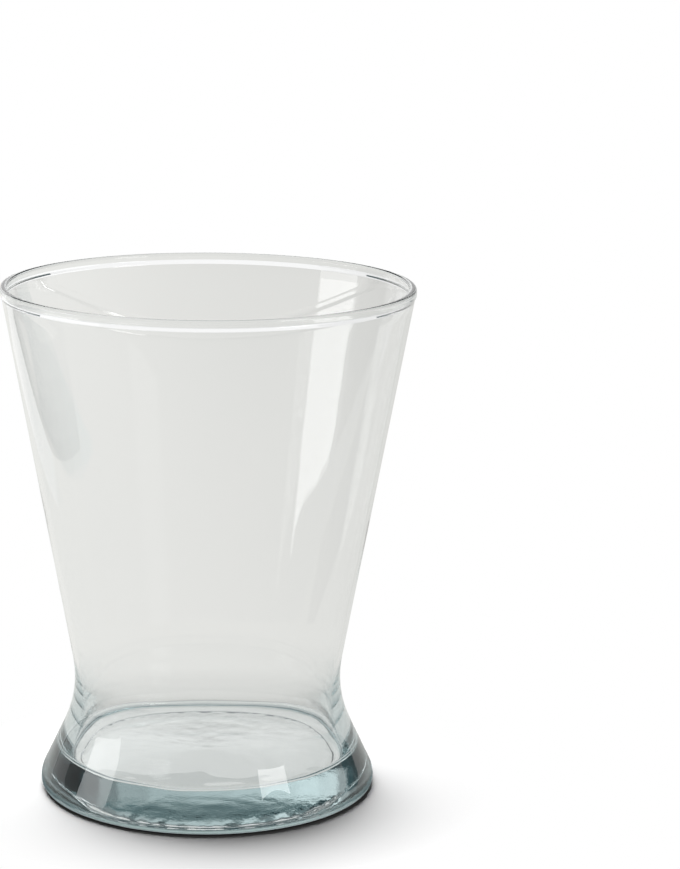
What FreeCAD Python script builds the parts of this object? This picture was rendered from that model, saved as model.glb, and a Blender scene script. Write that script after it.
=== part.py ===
import FreeCAD, Part
import math
import os

# A clear glass flower vase, blown in one piece: a tall cone that opens upwards from a
# pinched waist, on a flared foot with a thick solid base. The vase is a body of revolution.
# The origin is the centre of the base, where it stands, and +Z is the axis of the vase.
# All sizes are in millimetres.

# The outside, from the table up. A corner is where two straight runs of the profile would
# meet if their rounding was left out.
vase_height = 250.0
foot_radius = 82.2
foot_side_height = 7.0          # where the foot's upright edge turns in to the flare
waist_corner_radius = 63.0      # the rounding brings the narrowest place out to about 65.4
waist_corner_height = 47.7
rim_radius = 100.0

# The wall and the hollow inside. The wall is even down to the waist and thickens below it.
wall_at_rim = 2.2
wall_at_waist = 2.35
hollow_waist_drop = 0.8         # how far the hollow's waist lies below the waist outside
floor_corner_radius = 69.8
floor_height = 16.5             # thickness of the solid base, down to the table

# The fire-polished bead round the mouth
bead_height = 3.8
bead_proud_outside = 0.8        # how far the bead stands out from the wall below it
bead_proud_inside = 0.4
bead_neck_height = 1.6          # the stretch of wall that swells into the bead

# The underside: a flat standing ring round a very shallow hollow, highest in its middle
ring_inner_radius = 64.0
ring_step = 0.5                 # the small step from the ring up into the hollow
hollow_rise = 1.7               # from the step to the middle of the hollow

# Roundings of the profile's corners
foot_edge_rounding = 4.0
foot_shoulder_rounding = 12.0
waist_rounding = 57.0
bead_top_rounding = 1.6
hollow_waist_rounding = 80.0
floor_corner_rounding = 6.0

# Two roundings together take at most this share of the straight run between them
most_of_run_share = 0.96

# A rounding is drawn as arcs of an eighth of a turn, and what is left of it as a spline
eighth_turn = math.pi / 4
least_turn = math.radians(1)


def point(radius, height):
    """A place on the profile, in the plane through the axis of the vase."""
    return FreeCAD.Vector(radius, 0, height)


def line(start, end):
    return Part.LineSegment(start, end).toShape()


def half_angle(before, corner, after):
    return (before - corner).getAngle(after - corner) / 2


def corner_arc(before, corner, after, reach):
    """The arc that rounds a corner and takes the given reach from each run beside it."""
    back = (before - corner).normalize()
    on = (after - corner).normalize()
    half = back.getAngle(on) / 2
    radius = reach * math.tan(half)
    inwards = (back + on).normalize()
    centre = corner + inwards * (radius / math.sin(half))
    return Part.Arc(corner + back * reach, centre - inwards * radius, corner + on * reach)


def rounding(whole):
    """The edges of one rounding. Short arcs and splines keep the facets of the vase few."""
    edges = []
    here = whole.FirstParameter
    while whole.LastParameter - here > least_turn:
        there = min(here + eighth_turn, whole.LastParameter)
        arc = Part.Arc(whole.value(here), whole.value((here + there) / 2), whole.value(there))
        is_full = there - here > eighth_turn - least_turn
        edges.append(arc.toShape() if is_full else arc.toNurbs().toShape())
        here = there
    return edges


def rounded_run(start, corners, end):
    """Straight runs from start to end by way of the corners, each rounded.

    The corners are a list of (place, rounding). Roundings that are too large for the run
    between them give way alike.
    """
    places = [start] + [place for place, radius in corners] + [end]
    triples = list(zip(places, places[1:], places[2:]))
    wanted = [radius / math.tan(half_angle(*triple))
              for triple, (place, radius) in zip(triples, corners)]
    taken = [first + second for first, second in zip([0] + wanted, wanted + [0])]
    lengths = [(after - before).Length for before, after in zip(places, places[1:])]
    fits = [min(1, most_of_run_share * length / both) for length, both in zip(lengths, taken)]
    edges = []
    here = start
    for triple, reach, fit_before, fit_after in zip(triples, wanted, fits, fits[1:]):
        whole = corner_arc(*triple, reach * min(fit_before, fit_after))
        edges.append(line(here, whole.StartPoint))
        edges += rounding(whole)
        here = whole.EndPoint
    edges.append(line(here, end))
    return edges


def vase_body():
    """The whole vase: one closed section of glass, turned about the axis of the vase."""
    wall_top_height = vase_height - bead_height - bead_neck_height
    wall_top_radius = rim_radius - bead_proud_outside
    bead_inner_radius = wall_top_radius - wall_at_rim - bead_proud_inside

    # The underside, from its middle out to the ring that the vase stands on
    hollow_top = point(0, ring_step + hollow_rise)
    hollow_edge = point(ring_inner_radius, ring_step)
    ring_edge = point(ring_inner_radius + ring_step, 0)
    edges = [line(hollow_top, hollow_edge), line(hollow_edge, ring_edge)]

    # The foot, the waist and the wall, up to the bead
    wall_top_outside = point(wall_top_radius, wall_top_height)
    edges += rounded_run(ring_edge, [
        (point(foot_radius, 0), foot_edge_rounding),
        (point(foot_radius, foot_side_height), foot_shoulder_rounding),
        (point(waist_corner_radius, waist_corner_height), waist_rounding),
    ], wall_top_outside)

    # Over the bead
    bead_side_outside = point(rim_radius, vase_height - bead_height)
    bead_side_inside = point(bead_inner_radius, vase_height - bead_height)
    wall_top_inside = point(wall_top_radius - wall_at_rim, wall_top_height)
    edges.append(line(wall_top_outside, bead_side_outside))
    edges += rounded_run(bead_side_outside, [
        (point(rim_radius, vase_height), bead_top_rounding),
        (point(bead_inner_radius, vase_height), bead_top_rounding),
    ], bead_side_inside)
    edges.append(line(bead_side_inside, wall_top_inside))

    # Down the inside to the floor
    hollow_waist = point(waist_corner_radius - wall_at_waist, waist_corner_height - hollow_waist_drop)
    floor_middle = point(0, floor_height)
    edges += rounded_run(wall_top_inside, [
        (hollow_waist, hollow_waist_rounding),
        (point(floor_corner_radius, floor_height), floor_corner_rounding),
    ], floor_middle)
    edges.append(line(floor_middle, hollow_top))

    section = Part.Face(Part.Wire(edges))
    return section.revolve(FreeCAD.Vector(0, 0, 0), FreeCAD.Vector(0, 0, 1), 360)


os.makedirs("parts", exist_ok=True)
body = vase_body()
body.exportStep("parts/vase_body.step")
print("vase_body:", body.ShapeType, "valid", body.isValid(), "volume", round(body.Volume), "mm3")
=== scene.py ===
import math

import bpy
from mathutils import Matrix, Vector


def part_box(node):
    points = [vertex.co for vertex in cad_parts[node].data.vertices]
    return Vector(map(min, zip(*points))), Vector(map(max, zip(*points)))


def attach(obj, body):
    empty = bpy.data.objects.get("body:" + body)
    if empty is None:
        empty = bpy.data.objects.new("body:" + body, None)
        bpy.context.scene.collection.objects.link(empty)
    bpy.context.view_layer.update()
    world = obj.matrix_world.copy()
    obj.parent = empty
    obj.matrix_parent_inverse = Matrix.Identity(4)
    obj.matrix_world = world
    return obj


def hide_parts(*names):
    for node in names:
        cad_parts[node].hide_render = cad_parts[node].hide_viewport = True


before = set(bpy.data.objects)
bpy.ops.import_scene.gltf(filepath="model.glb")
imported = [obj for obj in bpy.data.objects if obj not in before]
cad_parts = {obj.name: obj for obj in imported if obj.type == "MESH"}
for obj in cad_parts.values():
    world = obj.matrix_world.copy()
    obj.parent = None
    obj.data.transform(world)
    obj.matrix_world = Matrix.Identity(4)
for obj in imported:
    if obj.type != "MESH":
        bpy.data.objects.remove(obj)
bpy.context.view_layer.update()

bpy.ops.object.select_all(action="DESELECT")


# The vase: one gather of clear soda-lime glass, blown into a mould and turned in it, so that
# it is round, with an even wall, a pinched waist and a thick base that is left solid. Its lip
# is melted back to a bead in the flame.
foot_radius = 0.0822
foot_side_height = 0.0070
waist_corner = (0.0630, 0.0477)
wall = 0.0022
wall_at_waist = 0.00235
hollow_waist_drop = 0.0008
floor_corner = 0.0698
floor_height = 0.0165
bead_height = 0.0038
bead_proud_outside = 0.0008
bead_proud_inside = 0.0004
bead_neck_height = 0.0016
ring_inner_radius = 0.0640
ring_step = 0.0005
hollow_rise = 0.0017
ring_step_rounding = 0.0008
ring_edge_rounding = 0.0006
foot_edge_rounding = 0.0040
foot_shoulder_rounding = 0.0120
waist_rounding = 0.0570
bead_neck_rounding = 0.0020
bead_top_rounding = 0.0016
hollow_waist_rounding = 0.0800
floor_corner_rounding = 0.0030

lowest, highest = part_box("vase_body")
vase_height = highest.z - lowest.z
rim_radius = highest.x
steps_round_vase = 256
wall_step = 0.0050
level_step = 0.0016
arc_step = math.radians(7)
seam_gap = 0.000002


def place(radius, height):
    """A point of the outline, in the plane through the axis of the vase."""
    return Vector((radius, 0, height))


def draw_straight(start, end):
    """Extrudes the outline's last point to the end of a straight run, in even steps.

    The level runs, which are the floor and the hollow underneath, get the closer steps that
    their ripples need.
    """
    is_level = abs(end.z - start.z) < 0.1 * abs(end.x - start.x)
    steps = max(1, math.ceil((end - start).length / (level_step if is_level else wall_step)))
    for _ in range(steps):
        bpy.ops.mesh.extrude_vertices_move(TRANSFORM_OT_translate={"value": (end - start) / steps})


def draw_run(start, corners, end):
    """Draws on from start to end by way of rounded corners, given as (place, rounding)."""
    places = [start] + [corner for corner, rounding in corners] + [end]
    here = start
    for before, (corner, rounding), after in zip(places, corners, places[2:]):
        back = (before - corner).normalized()
        on = (after - corner).normalized()
        half = back.angle(on) / 2
        reach = rounding / math.tan(half)
        centre = corner + (back + on).normalized() * rounding / math.sin(half)
        turn = (math.pi - 2 * half) * math.copysign(1, back.cross(on).y)
        draw_straight(here, corner + back * reach)
        steps = math.ceil(abs(turn) / arc_step)
        bpy.ops.mesh.spin(steps=steps, angle=turn, center=centre, axis=(0, 1, 0))
        here = corner + on * reach
    draw_straight(here, end)


wall_top_height = vase_height - bead_height - bead_neck_height
wall_top_radius = rim_radius - bead_proud_outside
bead_inner_radius = wall_top_radius - wall - bead_proud_inside
hollow_top = place(0, ring_step + hollow_rise)
floor_middle = place(0, floor_height)
outline_corners = [
    (place(ring_inner_radius, ring_step), ring_step_rounding),
    (place(ring_inner_radius + ring_step, 0), ring_edge_rounding),
    (place(foot_radius, 0), foot_edge_rounding),
    (place(foot_radius, foot_side_height), foot_shoulder_rounding),
    (place(*waist_corner), waist_rounding),
    (place(wall_top_radius, wall_top_height), bead_neck_rounding),
    (place(rim_radius, vase_height - bead_height), bead_neck_rounding),
    (place(rim_radius, vase_height), bead_top_rounding),
    (place(bead_inner_radius, vase_height), bead_top_rounding),
    (place(bead_inner_radius, vase_height - bead_height), bead_neck_rounding),
    (place(wall_top_radius - wall, wall_top_height), bead_neck_rounding),
    (place(waist_corner[0] - wall_at_waist, waist_corner[1] - hollow_waist_drop), hollow_waist_rounding),
    (place(floor_corner, floor_height), floor_corner_rounding),
]

bpy.ops.mesh.primitive_plane_add(size=0.01)
glass = bpy.context.object
glass.name = "vase_glass"
bpy.ops.object.mode_set(mode="EDIT")
bpy.ops.mesh.merge(type="CENTER")
bpy.ops.transform.translate(value=hollow_top)
draw_run(hollow_top, outline_corners, floor_middle)
bpy.ops.mesh.select_all(action="SELECT")
bpy.ops.mesh.spin(steps=steps_round_vase, angle=2 * math.pi, center=(0, 0, 0), axis=(0, 0, 1))
bpy.ops.mesh.select_all(action="SELECT")
bpy.ops.mesh.remove_doubles(threshold=seam_gap)
bpy.ops.mesh.normals_make_consistent(inside=False)
bpy.ops.object.mode_set(mode="OBJECT")
bpy.ops.object.shade_smooth()


# The marks that hot glass keeps: slow waves on the inner wall and the floor, strongest at the
# floor's edge, pebbles in the hollow underneath and small nicks round the standing ring. They
# are pressed into the same glass.
def fade(value, nothing, full):
    """From 0 to 1 as the value goes from nothing to full, with soft ends."""
    share = min(1, max(0, (value - nothing) / (full - nothing)))
    return share * share * (3 - 2 * share)


def ripple(name, share_at, size, depth, direction="Z"):
    """Presses slow waves into the glass, as deep at each point as share_at(radius, height) says."""
    group = glass.vertex_groups.new(name=name)
    for vertex in glass.data.vertices:
        share = share_at(math.hypot(vertex.co.x, vertex.co.y), vertex.co.z)
        if share > 0:
            group.add([vertex.index], share, "REPLACE")
    texture = bpy.data.textures.new(name, type="CLOUDS")
    texture.noise_scale = size
    texture.noise_depth = 2
    press = glass.modifiers.new(name, "DISPLACE")
    press.texture = texture
    press.texture_coords = "LOCAL"
    press.direction = direction
    press.vertex_group = name
    press.strength = depth
    press.mid_level = 0.5
    bpy.ops.object.modifier_apply(modifier=name)
    glass.vertex_groups.remove(glass.vertex_groups[name])


def is_floor(radius, height):
    """The top of the solid base, with the start of the corner round it."""
    return floor_height - 0.0015 < height < 0.0300 and radius < 0.0700


def on_floor_edge(radius, height):
    """The outer 14 mm of the floor, out to its corner."""
    return fade(radius, 0.056, 0.066) * fade(radius, 0.0699, 0.0688) if is_floor(radius, height) else 0


def on_floor_middle(radius, height):
    """The rest of the floor."""
    return fade(radius, 0.066, 0.052) if is_floor(radius, height) else 0


def on_hollow(radius, height):
    """The shallow hollow underneath, inside the ring's step."""
    return fade(radius, 0.0636, 0.0600) if 0.0004 < height < 0.0040 else 0


def on_ring_edge(radius, height):
    """The step between the hollow and the ring that the vase stands on."""
    return fade(radius, 0.0612, 0.0632) * fade(radius, 0.0646, 0.0641) if height < 0.0012 else 0


def on_inner_wall(radius, height):
    """The inside of the cone. The waist and the lip stay even."""
    slope = (wall_top_radius - waist_corner[0]) / (wall_top_height - waist_corner[1])
    outside = waist_corner[0] + slope * (height - waist_corner[1])
    is_inside = radius < outside - 0.5 * wall
    return fade(height, 0.055, 0.100) * fade(height, 0.243, 0.225) if is_inside else 0


ripple("wall_waves", on_inner_wall, 0.050, 0.0002, "NORMAL")
ripple("floor_edge_waves", on_floor_edge, 0.022, 0.0011)
ripple("floor_waves", on_floor_middle, 0.030, 0.00014)
ripple("hollow_waves", on_hollow, 0.007, 0.00012)
ripple("ring_edge_nicks", on_ring_edge, 0.0022, 0.0006)


def clear_glass():
    """Clear glass with the faint aqua that shows where it is thick, and a mottled underside."""
    material = bpy.data.materials.new("clear_glass")
    material.use_nodes = True
    nodes = material.node_tree.nodes
    links = material.node_tree.links
    shader = nodes["Principled BSDF"]
    shader.inputs["Base Color"].default_value = (1, 1, 1, 1)
    shader.inputs["Roughness"].default_value = 0.0
    shader.inputs["IOR"].default_value = 1.52
    shader.inputs["Transmission Weight"].default_value = 1
    depth = nodes.new("ShaderNodeVolumeAbsorption")
    depth.inputs["Color"].default_value = (0.46, 0.61, 0.62, 1)
    depth.inputs["Density"].default_value = 10
    links.new(depth.outputs["Volume"], nodes["Material Output"].inputs["Volume"])

    # The thin wall lets most of the light through, so that the shadow is the foot's
    place_on_glass = nodes.new("ShaderNodeTexCoord")
    height = nodes.new("ShaderNodeSeparateXYZ")
    links.new(place_on_glass.outputs["Object"], height.inputs["Vector"])
    let_through = nodes.new("ShaderNodeMapRange")
    let_through.inputs["From Min"].default_value = 0.035
    let_through.inputs["From Max"].default_value = 0.070
    let_through.inputs["To Max"].default_value = 0.85
    links.new(height.outputs["Z"], let_through.inputs["Value"])
    path = nodes.new("ShaderNodeLightPath")
    lit_part = nodes.new("ShaderNodeMath")
    lit_part.operation = "MULTIPLY"
    links.new(let_through.outputs["Result"], lit_part.inputs[0])
    links.new(path.outputs["Is Shadow Ray"], lit_part.inputs[1])
    opaque_part = nodes.new("ShaderNodeMath")
    opaque_part.operation = "SUBTRACT"
    opaque_part.inputs[0].default_value = 1
    links.new(lit_part.outputs["Value"], opaque_part.inputs[1])
    links.new(opaque_part.outputs["Value"], shader.inputs["Alpha"])

    # The mould leaves the hollow underneath finely pebbled
    pebbles = nodes.new("ShaderNodeTexNoise")
    pebbles.inputs["Scale"].default_value = 700
    pebbles.inputs["Detail"].default_value = 3
    links.new(place_on_glass.outputs["Object"], pebbles.inputs["Vector"])
    underneath = nodes.new("ShaderNodeMapRange")
    underneath.inputs["From Min"].default_value = 0.0030
    underneath.inputs["From Max"].default_value = 0.0024
    links.new(height.outputs["Z"], underneath.inputs["Value"])
    bump = nodes.new("ShaderNodeBump")
    bump.inputs["Distance"].default_value = 0.00003
    links.new(underneath.outputs["Result"], bump.inputs["Strength"])
    links.new(pebbles.outputs["Fac"], bump.inputs["Height"])
    links.new(bump.outputs["Normal"], shader.inputs["Normal"])
    return material


glass.data.materials.append(clear_glass())
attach(glass, "root")
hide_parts("vase_body")


# The table: a plain white board, wide enough to fill the view behind the vase. Seen straight on
# it is white and keeps the shadow close to the foot. The glass shows it as an even pale grey glow,
# with a painted shadow, darker and cooler, close round the foot.
table_width = 20.0
air_gap = 0.0002
bpy.ops.mesh.primitive_plane_add(size=table_width, location=(0, 0, -air_gap))
table = bpy.context.object
table.name = "table"
bpy.ops.object.transform_apply(location=True, scale=True)

# Each tone that the glass shows, with its distance from the axis of the vase. The dark, cool one
# beside the foot is a painted shadow, which fades out through the first tones farther out
tone_under_foot = (0.074, (0.78, 0.785, 0.765, 1))
painted_shadow_beside_foot = (0.084, (0.19, 0.27, 0.29, 1))
tones_farther_out = ((0.098, 0.48), (0.120, 0.70), (0.160, 0.80), (0.500, 0.79), (1.000, 0.79))
warmth_farther_out = 0.97
shadow_full = 0.084
shadow_gone = 0.140


def table_white():
    """White paint, shown in the glass as a glow with painted shadow and light, and plain white away from
    the shadow.
    """
    material = bpy.data.materials.new("table_white")
    material.use_nodes = True
    nodes = material.node_tree.nodes
    links = material.node_tree.links
    nodes.remove(nodes["Principled BSDF"])
    path = nodes.new("ShaderNodeLightPath")
    in_glass = nodes.new("ShaderNodeMath")
    in_glass.operation = "MAXIMUM"
    links.new(path.outputs["Is Glossy Ray"], in_glass.inputs[0])
    links.new(path.outputs["Is Transmission Ray"], in_glass.inputs[1])
    place_on_table = nodes.new("ShaderNodeTexCoord")
    radius = nodes.new("ShaderNodeVectorMath")
    radius.operation = "LENGTH"
    links.new(place_on_table.outputs["Object"], radius.inputs[0])

    # The paint itself, a little greyer for the light that it throws back on the vase
    tone = nodes.new("ShaderNodeMix")
    tone.data_type = "RGBA"
    tone.inputs["A"].default_value = (0.85, 0.85, 0.85, 1)
    tone.inputs["B"].default_value = (1, 1, 1, 1)
    links.new(path.outputs["Is Camera Ray"], tone.inputs["Factor"])
    surface = nodes.new("ShaderNodeBsdfDiffuse")
    links.new(tone.outputs["Result"], surface.inputs["Color"])

    # What the glass shows of it: painted light, a little brighter on the left, towards the large softbox
    shade = nodes.new("ShaderNodeValToRGB")
    stops = shade.color_ramp.elements
    for stop, (reach, colour) in zip(stops, (tone_under_foot, painted_shadow_beside_foot)):
        stop.position = reach
        stop.color = colour
    for reach, tone_there in tones_farther_out:
        stop = stops.new(reach)
        stop.color = (tone_there, tone_there, tone_there * warmth_farther_out, 1)
    links.new(radius.outputs["Value"], shade.inputs["Fac"])
    sides = nodes.new("ShaderNodeSeparateXYZ")
    links.new(place_on_table.outputs["Object"], sides.inputs["Vector"])
    painted_light_from_left = nodes.new("ShaderNodeMapRange")
    painted_light_from_left.inputs["From Min"].default_value = -0.20
    painted_light_from_left.inputs["From Max"].default_value = 0.20
    painted_light_from_left.inputs["To Min"].default_value = 1.07
    painted_light_from_left.inputs["To Max"].default_value = 0.91
    links.new(sides.outputs["X"], painted_light_from_left.inputs["Value"])
    glow = nodes.new("ShaderNodeEmission")
    links.new(shade.outputs["Color"], glow.inputs["Color"])
    links.new(painted_light_from_left.outputs["Result"], glow.inputs["Strength"])
    either = nodes.new("ShaderNodeMixShader")
    links.new(in_glass.outputs["Value"], either.inputs[0])
    links.new(surface.outputs["BSDF"], either.inputs[1])
    links.new(glow.outputs["Emission"], either.inputs[2])

    # The shadow fades out round the foot, and the rest of the board is the white of the view
    far_away = nodes.new("ShaderNodeMapRange")
    far_away.inputs["From Min"].default_value = shadow_full
    far_away.inputs["From Max"].default_value = shadow_gone
    links.new(radius.outputs["Value"], far_away.inputs["Value"])
    far_in_view = nodes.new("ShaderNodeMath")
    far_in_view.operation = "MULTIPLY"
    links.new(far_away.outputs["Result"], far_in_view.inputs[0])
    links.new(path.outputs["Is Camera Ray"], far_in_view.inputs[1])
    backdrop = nodes.new("ShaderNodeEmission")
    backdrop.inputs["Color"].default_value = (1, 1, 1, 1)
    sweep = nodes.new("ShaderNodeMixShader")
    links.new(far_in_view.outputs["Value"], sweep.inputs[0])
    links.new(either.outputs["Shader"], sweep.inputs[1])
    links.new(backdrop.outputs["Emission"], sweep.inputs[2])
    links.new(sweep.outputs["Shader"], nodes["Material Output"].inputs["Surface"])
    return material


table.data.materials.append(table_white())


# The softboxes and the window: white cloth over lamps, and a low pane behind the camera. The
# long softbox on the left hangs just above the table, and its lower edge and far end are masked
# to a bent line. They are there for the glass to mirror, and none of them shows to the camera.
room_radius = 1.6
plain = (1, 1, 1, 1)


def around(turn, distance, height):
    """A place round the vase, its turn in degrees from straight behind, to the right."""
    return (distance * math.sin(math.radians(turn)), distance * math.cos(math.radians(turn)), height)


def upright(turns, bottoms, top, distance=room_radius):
    """The corners of a standing panel, between two turns round the vase, with a level top."""
    left, right = turns
    left_bottom, right_bottom = bottoms
    return [
        around(left, distance, left_bottom), around(right, distance, right_bottom),
        around(right, distance, top), around(left, distance, top),
    ]


def panel(name, corners, strength, tint=plain):
    """A flat glowing panel that only the glass shows."""
    bpy.ops.object.select_all(action="DESELECT")
    mesh = bpy.data.meshes.new(name)
    mesh.from_pydata(corners, [], [tuple(range(len(corners)))])
    piece = bpy.data.objects.new(name, mesh)
    bpy.context.scene.collection.objects.link(piece)
    material = bpy.data.materials.new(name)
    material.use_nodes = True
    nodes = material.node_tree.nodes
    nodes.remove(nodes["Principled BSDF"])
    glow = nodes.new("ShaderNodeEmission")
    glow.inputs["Color"].default_value = tint
    glow.inputs["Strength"].default_value = strength
    material.node_tree.links.new(glow.outputs["Emission"], nodes["Material Output"].inputs["Surface"])
    piece.data.materials.append(material)
    piece.visible_camera = False
    piece.visible_diffuse = False
    piece.visible_shadow = False
    return piece


# The long softbox's outline: the share of the way from its near end to its far end, and the height
softbox_near_end = Vector((-0.925, -0.292, 0))
softbox_far_end = Vector((-1.523, 0.380, 0))
softbox_outline = (
    (0.00, 0.145), (0.00, 0.40), (0.83, 0.40), (0.80, 0.32), (0.765, 0.27), (0.79, 0.215),
    (0.74, 0.200), (0.63, 0.190), (0.28, 0.186), (0.09, 0.180), (0.03, 0.165), (0.015, 0.145),
)
panel("softbox_left", [
    softbox_near_end.lerp(softbox_far_end, share) + Vector((0, 0, height))
    for share, height in softbox_outline
], strength=3.0)
panel("softbox_right", upright(turns=(118, 140), bottoms=(0.70, 0.83), top=1.5), strength=4.5)
panel("window_right", upright(turns=(126, 145), bottoms=(0.02, 0.02), top=0.45), strength=0.92)


# The backdrop: white paper that hangs behind the vase in ten upright lengths. It glows with painted
# light, brightest on the left and falling off to dark on the right.
backdrop_distance = 3.2
backdrop_height = 1.42
backdrop_turns = (-43, -37, -28, -20, -12, -4, 4, 12, 20, 27, 33)
# Painted light on each length, from left to right
backdrop_tones = (0.60, 1.25, 1.40, 1.25, 1.10, 1.00, 0.90, 0.74, 0.45, 0.18)
for number, tone in enumerate(backdrop_tones):
    turns = backdrop_turns[number:number + 2]
    panel("backdrop_%d" % (number + 1), upright(turns, (0, 0), backdrop_height, backdrop_distance), tone)


# The dark ends of the room, on both sides of the backdrop: black cloth high up, and grey walls
# that get paler towards the camera lower down. They draw the edges of the cone and the dark ends
# of the foot.
black = 0.01
cloth_top = 1.1
cool = (0.65, 1.0, 1.08, 1)
dim_top = 0.24
dim_edges = ((31, 0.03), (45, 0.05), (55, 0.07), (66, 0.12), (77, 0.17), (88, 0.22))
dim_tones = (0.22, 0.26, 0.34, 0.46, 0.60)
panel("dark_right", upright(turns=(34, 70), bottoms=(0.42, 0.42), top=cloth_top), black)
for number, tone in enumerate(dim_tones):
    turns, bottoms = zip(*dim_edges[number:number + 2])
    panel("dim_right_%d" % (number + 1), upright(turns, bottoms, dim_top), tone, cool)
panel("dark_left_high", upright(turns=(-47, -72), bottoms=(0.40, 0.40), top=cloth_top), black)
panel("dark_left_low", upright(turns=(-50, -77), bottoms=(0.19, 0.19), top=0.40), strength=0.38)


# The left side of the table, as the glass mirrors it: glowing patches laid between the vase and the
# long softbox, a painted reflection in four steps from dark to pale, with a bright strip along the dark
# one and grey far out. Only mirrored light shows the patches, so that the view through the glass stays
# clean.
patch_lift = 0.001
patch_edge = ((-0.420, -0.05), (-0.432, 0.19), (-0.650, 0.85))
patch_steps = (0.00, 0.03, 0.07, 0.12, 0.18)
patch_tones = (0.12, 0.28, 0.44, 0.58)
for number, tone in enumerate(patch_tones):
    near, far = patch_steps[number:number + 2]
    near_side = [(x - near, y, patch_lift) for x, y in patch_edge]
    far_side = [(x - far, y, patch_lift) for x, y in patch_edge]
    patch = panel("dark_floor_%d" % (number + 1), near_side + far_side[::-1], tone)
    patch.visible_transmission = False
# A bright strip of painted light along the darkest patch
bright_strip = panel("bright_floor", [
    (-0.432, 0.19, patch_lift), (-0.650, 0.85, patch_lift),
    (-0.40, 0.85, patch_lift), (-0.35, 0.19, patch_lift),
], strength=1.10)
bright_strip.visible_transmission = False
panel("dark_floor_far", [
    around(-49, 1.3, patch_lift), around(-49, 8.0, patch_lift),
    around(-80, 8.0, patch_lift), around(-80, 1.3, patch_lift),
], strength=0.50)


# The light: one large round lamp, high up behind the vase and a little to its left, so that the
# shadow falls forwards. A faint even light fills the rest of the room.
lamp_place = (-0.20, 0.66, 1.25)
bpy.ops.object.light_add(type="AREA", location=lamp_place)
key = bpy.context.object
key.name = "key_light"
key.rotation_euler = (-key.location).to_track_quat("-Z", "Y").to_euler()
key.data.shape = "DISK"
key.data.size = 1.3
key.data.energy = 32
key.visible_glossy = False
key.visible_transmission = False
key.visible_camera = False


def studio_air():
    """White in the view, pale low down and dark high up in the glass, and faint as a light."""
    world = bpy.data.worlds.new("studio")
    world.use_nodes = True
    nodes = world.node_tree.nodes
    links = world.node_tree.links
    path = nodes.new("ShaderNodeLightPath")
    in_glass = nodes.new("ShaderNodeMath")
    in_glass.operation = "MAXIMUM"
    links.new(path.outputs["Is Glossy Ray"], in_glass.inputs[0])
    links.new(path.outputs["Is Transmission Ray"], in_glass.inputs[1])
    heading = nodes.new("ShaderNodeTexCoord")
    parts = nodes.new("ShaderNodeSeparateXYZ")
    links.new(heading.outputs["Generated"], parts.inputs["Vector"])
    sky = nodes.new("ShaderNodeValToRGB")
    stops = sky.color_ramp.elements
    stops[0].position = 0.12
    stops[0].color = (0.75, 0.75, 0.75, 1)
    stops[1].position = 0.30
    stops[1].color = (0.02, 0.055, 0.065, 1)
    links.new(parts.outputs["Z"], sky.inputs["Fac"])
    seen_in_glass = nodes.new("ShaderNodeMix")
    seen_in_glass.data_type = "RGBA"
    seen_in_glass.inputs["A"].default_value = (0.06, 0.06, 0.06, 1)
    links.new(in_glass.outputs["Value"], seen_in_glass.inputs["Factor"])
    links.new(sky.outputs["Color"], seen_in_glass.inputs["B"])
    white = nodes.new("ShaderNodeMix")
    white.data_type = "RGBA"
    white.inputs["B"].default_value = (1, 1, 1, 1)
    links.new(path.outputs["Is Camera Ray"], white.inputs["Factor"])
    links.new(seen_in_glass.outputs["Result"], white.inputs["A"])
    links.new(white.outputs["Result"], nodes["Background"].inputs["Color"])
    return world


scene = bpy.context.scene
scene.world = studio_air()


# The camera: a long lens 1.4 m in front of the vase, looking down at it by about 12 degrees and
# aimed to its right, which leaves the vase on the left of the frame.
camera_place = (0, -1.4, 0.48266)
camera_turns = (77.6651, -0.6962, -2.4628)
camera_data = bpy.data.cameras.new("camera")
camera_data.lens = 122.13
camera_data.sensor_width = 36
camera = bpy.data.objects.new("camera", camera_data)
camera.location = camera_place
camera.rotation_euler = [math.radians(turn) for turn in camera_turns]
scene.collection.objects.link(camera)
scene.camera = camera

# Light passes many glass surfaces on its way through the vase
most_surfaces = 24
scene.view_settings.view_transform = "Standard"
scene.cycles.max_bounces = most_surfaces
scene.cycles.transmission_bounces = most_surfaces
scene.cycles.glossy_bounces = most_surfaces
scene.cycles.caustics_refractive = False
scene.cycles.caustics_reflective = False
